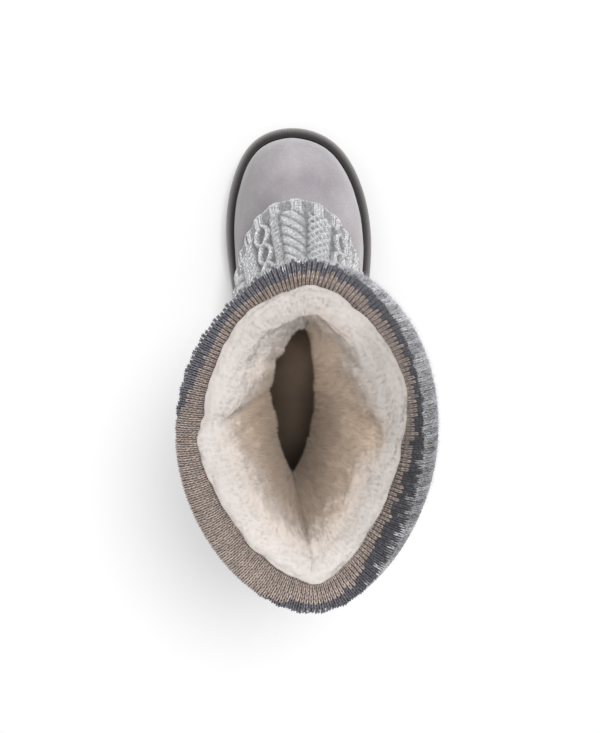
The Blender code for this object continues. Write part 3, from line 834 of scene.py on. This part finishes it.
def cuff_sheet():
    """The cuff's visible face as a fine grid: from inside the collar, over the crown, down to the hem."""
    theta = even_thetas(CUFF_PLACES)[:-1]
    leg_face = KNIT_WALL + 2 * GAP
    edge = around(PILE_EDGES, theta, 1)
    start = last_offset(theta, COLLAR_ROW, np.minimum(edge - 0.0022, -0.0008))
    start[:, 2] += 0.0014 + 0.25 * np.clip(edge, -0.008, 0)
    knots = [start]
    tucked = 0.0030 * np.exp(-(((theta / TURN - 0.600) / 0.055) ** 2))
    for wall, rise in CUFF_CROWN[1:]:
        thickness = CUFF_WALL - tucked if wall > 0 else KNIT_WALL + GAP
        ring = last_offset(theta, COLLAR_ROW, leg_face + wall * thickness)
        ring[:, 2] += GAP + rise * CROWN_RISE
        knots.append(ring)
    for row in np.linspace(COLLAR_ROW - 0.3, CUFF_HEM_ROW, 7):
        knots.append(last_offset(theta, row, leg_face + CUFF_WALL - tucked + cuff_flare(theta, row)))
    under = last_offset(theta, CUFF_HEM_ROW, leg_face + CUFF_WALL * 0.45 + cuff_flare(theta, CUFF_HEM_ROW))
    under[:, 2] -= 0.0018
    knots = np.array([*knots, under])
    chords = np.linalg.norm(np.diff(knots, axis=0), axis=2)
    place = np.concatenate([np.zeros((1, CUFF_PLACES)), np.cumsum(chords, axis=0)])
    wanted = np.linspace(0, 1, CUFF_LEVELS)
    turns = np.arange(CUFF_PLACES)
    share = np.stack([
        np.interp(wanted * place[-1, turn], place[:, turn], np.arange(len(place))) for turn in turns
    ], 1)
    grid = section(knots, share, turns)
    return grid, -grid_normals(grid), theta


def band_rows(column):
    """Rows where taupe and charcoal end in a column, scalloped or ragged, and the column's theta."""
    turns = np.arange(CUFF_PLACES + 1) / CUFF_PLACES
    theta = np.interp(np.mod(column / CUFF_COLUMNS, 1.0), turns, even_thetas(CUFF_PLACES))
    pitch = CUFF_PATH / CUFF_STITCH_ROWS
    side = (0.5 + 0.5 * np.cos(theta - math.pi + math.radians(CUFF_FLARE_SIDE))) ** 2
    ragged = np.random.default_rng(6).uniform(-1, 1, (2, CUFF_COLUMNS))[:, np.mod(column, CUFF_COLUMNS)]
    scallop = np.array(SCALLOP)[np.mod(column, len(SCALLOP))]
    charcoal = around(BAND_ENDS, theta, 2) / pitch + scallop * (1 - 0.6 * side) + 1.5 * side * ragged[0]
    taupe = around(BAND_ENDS, theta, 1) / pitch + 0.3 * scallop + 0.5 * side * ragged[1]
    return taupe, charcoal, theta


def stitch_leg():
    """One leg of a stitch: rings of STITCH_SIDES points at three stops between its two tips, and faces."""
    turns = np.arange(STITCH_SIDES) / STITCH_SIDES * TURN
    along = np.concatenate([[0.0], np.repeat(STITCH_STOPS, STITCH_SIDES), [1.0]])
    ring = np.column_stack([np.cos(turns), np.sin(turns)])
    aside = np.vstack([np.zeros((1, 2)), np.tile(ring, (len(STITCH_STOPS), 1)), np.zeros((1, 2))])
    here, after = np.arange(STITCH_SIDES), (np.arange(STITCH_SIDES) + 1) % STITCH_SIDES
    faces = [np.column_stack([0 * here, 1 + after, 1 + here])]
    for low in (1, 1 + STITCH_SIDES):
        high = low + STITCH_SIDES
        faces.append(np.column_stack([low + here, low + after, high + after]))
        faces.append(np.column_stack([low + here, high + after, high + here]))
    end = len(along) - 1
    faces.append(np.column_stack([0 * here + end, end - STITCH_SIDES + here, end - STITCH_SIDES + after]))
    thick = np.interp(along, (0.0, *STITCH_STOPS, 1.0), (0.0, 0.78, 1.0, 0.78, 0.0))
    return along, aside * thick[:, None], np.vstack(faces)


def make_cuff():
    """Knitted cuff: a plain body, two bent yarn legs for every stitch in three colours, and fuzz."""
    grid, normals, theta = cuff_sheet()
    make_cuff_body(grid, normals, theta[:: CUFF_PLACES // CUFF_BODY_PLACES])
    make_stitches(grid, normals)
    make_fuzz(grid, normals)


def make_cuff_body(grid, normals, theta):
    """The plain body that closes the gaps between the stitches, darker than they are as painted shade in
    those gaps.
    """
    leg_face = KNIT_WALL + 2 * GAP
    size = (CUFF_BODY_LEVELS, CUFF_BODY_PLACES)
    turn = np.broadcast_to(np.arange(CUFF_BODY_PLACES) / CUFF_BODY_PLACES, size)
    down = np.broadcast_to(np.linspace(0, 1, CUFF_BODY_LEVELS)[:, None], size)
    outer = on_sheet(grid, turn, down) - 0.0009 * on_sheet(normals, turn, down)
    inner = []
    for row in (CUFF_HEM_ROW, 10.6, 11.3):
        inner.append(last_offset(theta, row, leg_face + 0.92 * cuff_flare(theta, row)))
    inner.append(last_offset(theta, COLLAR_ROW, leg_face) + (0, 0, GAP))
    rings = np.concatenate([np.array(inner), outer])
    taupe, charcoal = band_rows(np.round(turn * CUFF_COLUMNS).astype(int))[:2]
    at_row = down * CUFF_STITCH_ROWS
    dark = smooth_step(at_row - taupe, -0.5, 0.5)[..., None]
    light = smooth_step(at_row - charcoal, 2.0, 7.0)[..., None]
    # Painted shade in the gaps between stitches: each yarn's colour well darkened; charcoal carries on
    # under the light yarn's first rows
    under = np.array(TAUPE) * 0.46 * (1 - dark) + np.array(CHARCOAL) * 0.60 * dark
    under = under * (1 - light) + np.array(LIGHT) * 0.26 * light
    tint = np.concatenate([np.tile(under[0], (len(inner), 1, 1)), under])
    add(ring_loft("cuff_body", rings, yarn_finish("cuff_yarn_shaded_under"), tint), "cuff")


def make_stitches(grid, normals):
    """Every stitch that isn't hidden under the hem, as two yarn legs that meet in a V."""
    rng = np.random.default_rng(5)
    rows_seen = np.arange(CUFF_STITCH_ROWS - HIDDEN_ROWS)
    column, row = (
        each.ravel() for each in np.meshgrid(np.arange(CUFF_COLUMNS), rows_seen, indexing="ij")
    )
    taupe, charcoal, place = band_rows(column)
    band = np.where(row < taupe, 0, np.where(row < charcoal, 1, 2))
    openness = around(CUFF_SHADING_AND_OPENNESS, place, 4)
    along, aside, faces = stitch_leg()
    arch = np.sin(along * math.pi)
    for number, (name, colour, streak, fleck, thick, bulge, toe_bulge) in enumerate(YARNS):
        chosen = np.flatnonzero(band == number)
        places = place[chosen]
        # Painted light and shade on the yarn by its place round the cuff, then a random streak from column
        # to column
        shading_and_tone = around(CUFF_SHADING_AND_OPENNESS, places, number + 1)[:, None]
        shading_and_tone = shading_and_tone * (1 + streak * rng.uniform(-1, 1, CUFF_COLUMNS)[column[chosen]][:, None])
        spread = (0.11 + 0.16 * openness[chosen])[:, None]
        thick = thick + 0.025 * openness[chosen][:, None]
        toe = np.exp(-(((places / TURN - 0.5) / 0.08) ** 2))
        bulge = np.cos((column[chosen] / len(SCALLOP) - 0.5) * TURN) * (bulge + toe_bulge * toe)
        points, tints = [], []
        for hand in (-1.0, 1.0):
            wobble = rng.normal(0, 0.035, (len(chosen), 2))
            lift = rng.normal(0, 0.00009, len(chosen)) + bulge
            x = column[chosen][:, None] + wobble[:, :1]
            x = x + hand * (0.115 + spread * (1 - along)) + aside[:, 0] * thick
            y = row[chosen][:, None] + wobble[:, 1:] + 0.5 + (along - 0.5) * 1.45
            out = lift[:, None] - 0.0003 + 0.0006 * arch + aside[:, 1] * 0.00068
            at = (x / CUFF_COLUMNS, y / CUFF_STITCH_ROWS)
            points.append(on_sheet(grid, *at) + out[..., None] * on_sheet(normals, *at))
            shine = 1 + fleck * rng.uniform(-1, 1, (len(chosen), 1))
            # Painted shade towards both tips of a yarn leg, lighter at its middle
            tints.append(np.array(colour) * (shading_and_tone * (shine * (0.74 + 0.32 * arch)))[..., None])
        points, tints = np.concatenate(points), np.concatenate(tints)
        starts = np.arange(len(points))[:, None, None] * len(along)
        both = (starts + faces).reshape(-1, 3)
        finish = yarn_finish(name + "_yarn")
        add(new_piece(name, points.reshape(-1, 3), both, finish, tints.reshape(-1, 3)))


def make_fuzz(grid, normals):
    """Loose fibres that stand off the light yarn, thickest towards the toe on the outer side."""
    rng = np.random.default_rng(12)
    turn = 0.34 + rng.normal(0, 0.10, FUZZ_HAIRS)
    first = band_rows(np.round(turn * CUFF_COLUMNS).astype(int))[1] / CUFF_STITCH_ROWS
    down = first + (0.80 - first) * rng.uniform(0, 1, FUZZ_HAIRS) ** 1.5
    normal = unit(on_sheet(normals, turn, down))
    root = on_sheet(grid, turn, down) + 0.0004 * normal
    direction = unit(normal + rng.normal(0, 0.55, (FUZZ_HAIRS, 3)))
    tip = root + direction * rng.uniform(0.0012, 0.0036, (FUZZ_HAIRS, 1))
    points, faces = spikes(root, tip, 0.00007, rng)
    tint = np.array(LIGHT) * 1.15
    add(new_piece("cuff_fuzz", points, faces, yarn_finish("cuff_fuzz_yarn"), tint))


def spikes(root, tip, half, rng):
    """Thin three-sided spikes: three corners round each root and one at its tip."""
    direction = unit(tip - root)
    side = unit(np.cross(direction, rng.normal(0, 1, root.shape)))
    other = np.cross(direction, side)
    turns = (0, TURN / 3, -TURN / 3)
    corners = [root + half * (math.cos(turn) * side + math.sin(turn) * other) for turn in turns]
    points = np.stack([*corners, tip], 1).reshape(-1, 3)
    pattern = np.array(((0, 2, 1), (0, 1, 3), (1, 2, 3), (2, 0, 3)))
    return points, (np.arange(len(root))[:, None, None] * 4 + pattern).reshape(-1, 3)


def moved_in_sight(points, height):
    """Points moved to a height along the lines on which the camera sees them."""
    share = (EYE[2] - height) / (EYE[2] - points[..., 2])
    return EYE + (points - EYE) * share[..., None]


def seen_inwards(points, theta):
    """How far inside the collar's line the camera sees points, in metres."""
    rim = last_offset(theta, COLLAR_ROW, 0.0)
    out = unit((last_offset(theta, COLLAR_ROW, 0.001) - rim)[..., :2])
    seen = moved_in_sight(points, RIM_HEIGHT)[..., :2]
    return ((rim[..., :2] - seen) * out).sum(-1)


def tunnel_ring(theta, row):
    """Points around the tunnel at one row of its table: an almond of the power point, leaned and skewed."""
    drop, front, back, half, point, lean = row
    along = 0.5 - 0.5 * np.cos(theta)
    ends = 2 * along - 1
    point = point + 0.35 * np.clip(2 * ends, 0, 1)
    across = (1 - np.abs(ends) ** point) ** (1 / point) * np.sign(np.sin(theta))
    skew = PILE_SKEW * smooth_step(drop, 0.0, 0.6) * np.clip(ends, 0, 1) ** 2
    x = COLLAR_WIDTH * (lean + skew + half * across)
    x = x + collar_skew(ends, 1 - smooth_step(drop, 0.0, SKEW_DEPTH))
    y = LEG_CENTRE + COLLAR_LENGTH * (back + along * (front - back))
    z = np.full(len(theta), HEEL_HEIGHT + INSTEP_HEIGHT + LEG_HEIGHT * (1 - drop))
    return np.stack([x, y, z], -1)


def fur_sheet():
    """The pile's visible face: from the tunnel's end up its wall, over the crest and out over the cuff.

    Its second number runs evenly in distance across, to which a small part of the distance down is added.
    """
    levels, places = PILE_LEVELS, PILE_PLACES
    theta = even_thetas(places)[:-1]
    edge = around(PILE_EDGES, theta, 1)
    crest = []
    for back, height in PILE_CREST:
        ring = last_offset(theta, COLLAR_ROW, edge - back)
        ring[:, 2] = COLLAR_HEIGHT + height + 0.0016 * smooth_step(edge, 0.0, 0.004)
        crest.append(ring)
    knots = [tunnel_ring(theta, row) for row in TUNNEL_ROWS[::-1]]
    hole, high = moved_in_sight(knots[-1], RIM_HEIGHT), moved_in_sight(crest[0], RIM_HEIGHT)
    depth, power = around(PILE_WALL, theta, 1), around(PILE_WALL, theta, 2)
    tuft = value_noise(np.arange(places) / places, np.zeros(places), 70, 1, 29)
    ragged_edge = (0.012 + 0.045 * np.clip(-1.5 * np.sin(theta), 0, 1)) * np.clip(tuft + 0.1, -0.2, 1.0)
    hole = hole + (hole - high) * ragged_edge[:, None]
    for step in EDGE_STEPS[::-1]:
        edge_height = COLLAR_HEIGHT - depth
        knots.append(moved_in_sight(hole, edge_height - step * (edge_height - knots[2][:, 2])))
    for step in WALL_STEPS[::-1]:
        z = crest[0][:, 2] - (depth + crest[0][:, 2] - COLLAR_HEIGHT) * step**power
        knots.append(moved_in_sight(high + step * (hole - high), z))
    knots += crest
    knots = np.array(knots)
    chords = np.diff(knots, axis=0)
    flat = np.linalg.norm(chords[..., :2], axis=2).mean(1)
    place = running(flat + PILE_STEEP * np.linalg.norm(chords, axis=2).mean(1))
    wanted = np.linspace(0, place[-1], levels)
    share = np.interp(wanted, place, np.arange(len(place)))
    grid = section(knots.reshape(len(knots), -1), share).reshape(levels, places, 3)
    normal = -grid_normals(grid)
    inwards = seen_inwards(grid, theta[None, :])
    u = np.broadcast_to(np.arange(places) / places, (levels, places))
    v = np.broadcast_to((wanted / place[-1])[:, None], (levels, places))
    lobe = around(PILE_EDGES, theta, 2)[None, :]
    ragged = 0.0030 * value_noise(u, v, 46, 16, 25) + 0.0018 * value_noise(u, v, 90, 34, 26)
    pale = smooth_step(lobe - inwards + ragged, -0.0055, 0.0055)
    drift = 0.03 * value_noise(u, v, 9, 7, 21)
    lumps = 0.75 * puffs(u + drift, v, 26, 6, 22) + 0.30 * puffs(u + drift, v + drift, 58, 15, 23)
    lumps = lumps + 0.22 * value_noise(u, v, 14, 5, 24) + 0.10 * value_noise(u, v, 120, 50, 27) - 0.62
    size = 0.0014 + 0.0018 * pale
    shift = lumps * size + 0.0012 * (pale - 0.45)
    turns = theta[None, :] / TURN
    for centre, first, final, half, depth in PILE_CREASES:
        away = np.abs(np.mod(turns - centre + 0.5, 1.0) - 0.5)
        inside = smooth_step(inwards, first - 0.003, first + 0.003)
        inside = inside * (1 - smooth_step(inwards, final - 0.006, final + 0.006))
        shift = shift - depth * np.exp(-((away / half) ** 2)) * inside
    outermost = smooth_step(v, 0.955, 1.0)
    grid = grid + (shift * (1 - outermost))[..., None] * normal
    pale = pale * (1 - 0.55 * smooth_step(inwards / lobe, 0.35, 1.0))
    # Painted light and shade round the rim, with a little random tone, giving way deeper in to the wall's
    # painted light and shade
    shading_and_tone = around(PILE_EDGES, theta, 3)[None, :] * (1 + 0.05 * value_noise(u, v, 20, 7, 28))
    deep = smooth_step(inwards, 0.010, lobe + 0.006)
    shading_and_tone = shading_and_tone * (1 - deep) + around(PILE_WALL, theta, 3)[None, :] * deep
    return grid, -grid_normals(grid), pale, shading_and_tone, theta


def pile_colour(share, shading_and_tone):
    """The pile's colour from how pale it is, times its painted light and shade with some random tone."""
    return (np.array(BEIGE) * (1 - share) + np.array(CREAM) * share) * shading_and_tone


def make_fur():
    """Pile: a lumpy body over tunnel and crest, and fine hairs in tufts, laid flat on crest and shelf."""
    grid, normals, pale, shading_and_tone, theta = fur_sheet()
    wall_depth = around(PILE_WALL, theta, 1)
    theta = theta[::2]
    outer = [last_offset(theta, COLLAR_ROW, -0.0004) - (0, 0, 0.001)]
    for row in (11.3, 10.6, 9.9, 9.2, 8.5, LINING_END_ROW):
        outer.append(last_offset(theta, row, -0.0002))
    rings = np.concatenate([grid[::2, ::2], np.array(outer)])
    tint = pile_colour(pale[::2, ::2, None], shading_and_tone[::2, ::2, None])
    tint = np.concatenate([tint, np.tile(np.array(BEIGE), (len(outer), len(theta), 1))])
    finish = fur_finish()
    body = add(ring_loft("pile_body", rings, finish, tint), "fur_lining")
    lit = np.concatenate([normals[::2, ::2], unit(np.array(outer) - rings.mean((0, 1)))])
    lit[: len(grid[::2])] = unit(lit[: len(grid[::2])] + (0, 0, PILE_LIT))
    body.data.normals_split_custom_set_from_vertices(lit.reshape(-1, 3))

    rng = np.random.default_rng(8)
    tufts_u, tufts_v = TUFT_PLACES, TUFT_LEVELS
    count = PILE_LOT
    for number in range(PILE_LOTS):
        turn = rng.uniform(0, 1, count)
        down = rng.uniform(0, 1, count)
        down = np.interp(down, (0, 0.18, 0.62, 0.80, 0.94, 1), (0.10, 0.24, 0.50, 0.70, 0.93, 0.970))
        cell_u, cell_v = np.floor(turn * tufts_u).astype(int), np.floor(down * tufts_v).astype(int)
        shift = rng.uniform(-0.3, 0.3, (tufts_v + 1, tufts_u, 2))[cell_v, cell_u % tufts_u]
        root = on_sheet(grid, turn, down)
        normal = unit(on_sheet(normals, turn, down))
        tuft_u, tuft_v = (cell_u + 0.5 + shift[:, 0]) / tufts_u, (cell_v + 0.5 + shift[:, 1]) / tufts_v
        goal = on_sheet(grid, tuft_u, tuft_v)
        share = on_sheet(pale[..., None], turn, down)
        inward = unit(on_sheet(grid, turn, down - 0.02) - root)
        crest = smooth_step(down, 0.60, 0.75)
        nearest = np.round(turn * PILE_PLACES).astype(int) % PILE_PLACES
        shelf = 1 - smooth_step(wall_depth[nearest], 0.012, 0.050)
        crest = np.maximum(crest, shelf)[:, None]
        length = rng.uniform(0.0022, 0.0044, (count, 1)) * (1 - 0.4 * crest)
        swirl = np.stack([value_noise(turn, down, 17, 9, 31 + axis) for axis in range(3)], -1)
        lean = 0.6 * swirl + rng.normal(0, 0.20, (count, 3)) + inward * (0.3 + 0.5 * crest)
        direction = unit(normal * (1 - 0.86 * crest) + 0.9 * lean)
        tip = root + direction * length
        tip = tip + 0.35 * (goal + normal * length - tip)
        points, faces = spikes(root - 0.0003 * normal, tip, PILE_HAIR, rng)
        share = np.clip(share + rng.normal(0, 0.10, (count, 1)), 0, 1)
        tuft = rng.uniform(-1, 1, (tufts_v + 1, tufts_u))[cell_v, cell_u % tufts_u][:, None]
        spread = 1 + (0.05 * tuft + rng.uniform(-0.06, 0.06, (count, 1))) * (2.6 - 2.0 * share)
        tint = pile_colour(share, on_sheet(shading_and_tone[..., None], turn, down) * spread).repeat(4, 0)
        # Painted shade on each hair's three root corners and painted light at its tip
        tint = np.minimum(tint * np.tile((0.95, 0.95, 0.95, 1.02), count)[:, None], 0.97)
        piece = new_piece(f"pile_hairs_{number + 1}", points, faces, finish, tint)
        soft = unit(normal + 0.2 * direction + (0, 0, PILE_LIT))
        piece.data.normals_split_custom_set_from_vertices(soft.repeat(4, 0))
        add(piece)


def make_welt():
    """Welt roll: an elliptical section carried round the sole's edge, with slanting cord ribs."""
    theta_fine = np.linspace(0, TURN, 4001)
    x, y = outline_inset(theta_fine, 0.0)
    arc = running(np.hypot(np.diff(x), np.diff(y)))
    wanted = np.arange(WELT_PLACES) / WELT_PLACES * arc[-1]
    theta = np.interp(wanted, arc, theta_fine)
    ribs = round(arc[-1] / CORD_PITCH)
    step = 0.001
    rings, tints = [], []
    for side in range(WELT_SIDES):
        turn = TURN * side / WELT_SIDES
        cord = 0.5 + 0.5 * np.cos(TURN * (ribs * wanted / arc[-1]) + 3.0 * turn)
        grow = 1.0 - 0.030 + 0.06 * cord
        plain_inset = WELT_WIDTH / 2 * (1 + np.cos(turn))
        inset = WELT_WIDTH / 2 * (1 + np.cos(turn) * grow)
        rise = GAP + WELT_HEIGHT / 2 * (1 + np.sin(turn) * grow)
        x, y = outline_inset(theta, plain_inset)
        inner_x, inner_y = outline_inset(theta, plain_inset + step)
        x = x + (inner_x - x) * (inset - plain_inset) / step
        y = y + (inner_y - y) * (inset - plain_inset) / step
        rings.append(np.stack([x, y, sole_top(y) + rise], -1))
        # Painted shade on the roll's inner side and in the grooves between cord ribs, and painted light on
        # its outer side, more at the toe
        outside = 0.5 - 0.5 * math.cos(turn)
        toe = 1 + 0.7 * outside * smooth_step(y, 0.185, 0.230)
        shading_and_tone = (0.38 + 2.8 * outside**2.2) * (0.84 + 0.24 * cord) * toe
        tints.append(np.array(WELT) * shading_and_tone[:, None])
    shade = Shade("welt_cord", 0.85, sheen=0.2)
    shade.base(shade.scaled(shade.tint(), shade.range(shade.noise(900.0), 0.3, 0.7, 0.85, 1.12)))
    shade.bump(shade.noise(1800.0), 0.3, 0.0002)
    add(ring_loft("corded_welt", np.array(rings), shade.material, np.array(tints)), "welt_roll")


def finish_solids():
    """Finishes of the solids that are shown as they are."""
    outsole = plain_finish("rubber", (0.045, 0.044, 0.045), 0.7, 700.0, 0.0003)
    shade = Shade("footbed", 0.6)
    # Painted light and shade on the footbed: dark towards the heel deep in the boot, brighter towards the
    # toe under the leg's opening
    along = shade.node("ShaderNodeSeparateXYZ", {0: shade.place()}).outputs["Y"]
    heel, waist_light = shade.range(along, -0.010, 0.035, 0.42, 1.05), shade.range(along, 0.040, 0.080, 1.0, 2.6)
    painted_shading = shade.maths("MULTIPLY", heel, waist_light)
    mottle = shade.range(shade.noise(60.0, 4.0), 0.3, 0.7, 0.92, 1.08)
    shade.base(shade.scaled(shade.scaled(BROWN, painted_shading), mottle))
    shade.bump(shade.noise(1200.0, 2.0), 0.4, 0.0001)
    insole = shade.material
    for name, finish in (("outsole", outsole), ("insole", insole)):
        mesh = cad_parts[name].data
        mesh.materials.clear()
        mesh.materials.append(finish)


def set_stage():
    """Pale floor, soft key light from the upper right, even fill, and a camera straight above."""
    scene = bpy.context.scene
    floor_mesh = bpy.data.meshes.new("floor")
    half = 3.0
    floor_mesh.from_pydata(
        [(-half, -half, 0), (half, -half, 0), (half, half, 0), (-half, half, 0)], [], [(0, 1, 2, 3)]
    )
    floor = bpy.data.objects.new("floor", floor_mesh)
    paper = bpy.data.materials.new("floor")
    paper.use_nodes = True
    surface = paper.node_tree.nodes["Principled BSDF"].inputs
    surface["Base Color"].default_value = (0.97, 0.97, 0.97, 1)
    surface["Roughness"].default_value = 0.9
    floor_mesh.materials.append(paper)
    scene.collection.objects.link(floor)

    world = bpy.data.worlds.new("studio")
    world.use_nodes = True
    sky = world.node_tree.nodes["Background"].inputs
    sky["Color"].default_value = (1.0, 1.0, 1.0, 1)
    sky["Strength"].default_value = 0.56
    scene.world = world

    for name, place, size, power in (
        ("key", (0.30, 0.42, 1.90), 0.60, 15.5),
        ("top", (0.0, 0.06, 2.20), 0.30, 8.0),
    ):
        lamp = bpy.data.lights.new(name, "AREA")
        lamp.shape = "DISK"
        lamp.size = size
        lamp.energy = power
        light = bpy.data.objects.new(name, lamp)
        light.location = place
        aim = np.array((0.0, 0.06, 0.12)) - np.array(place)
        light.rotation_euler = (
            math.atan2(math.hypot(aim[0], aim[1]), -aim[2]), 0.0, math.atan2(aim[1], aim[0]) - math.pi / 2
        )
        scene.collection.objects.link(light)

    lens = bpy.data.cameras.new("camera")
    lens.lens = 47.44
    lens.sensor_width = 36.0
    camera = bpy.data.objects.new("camera", lens)
    camera.location = EYE
    scene.collection.objects.link(camera)
    scene.camera = camera
    scene.view_settings.view_transform = "Standard"


make_suede()
make_knit_leg()
make_cuff()
make_fur()
make_welt()
finish_solids()
set_stage()
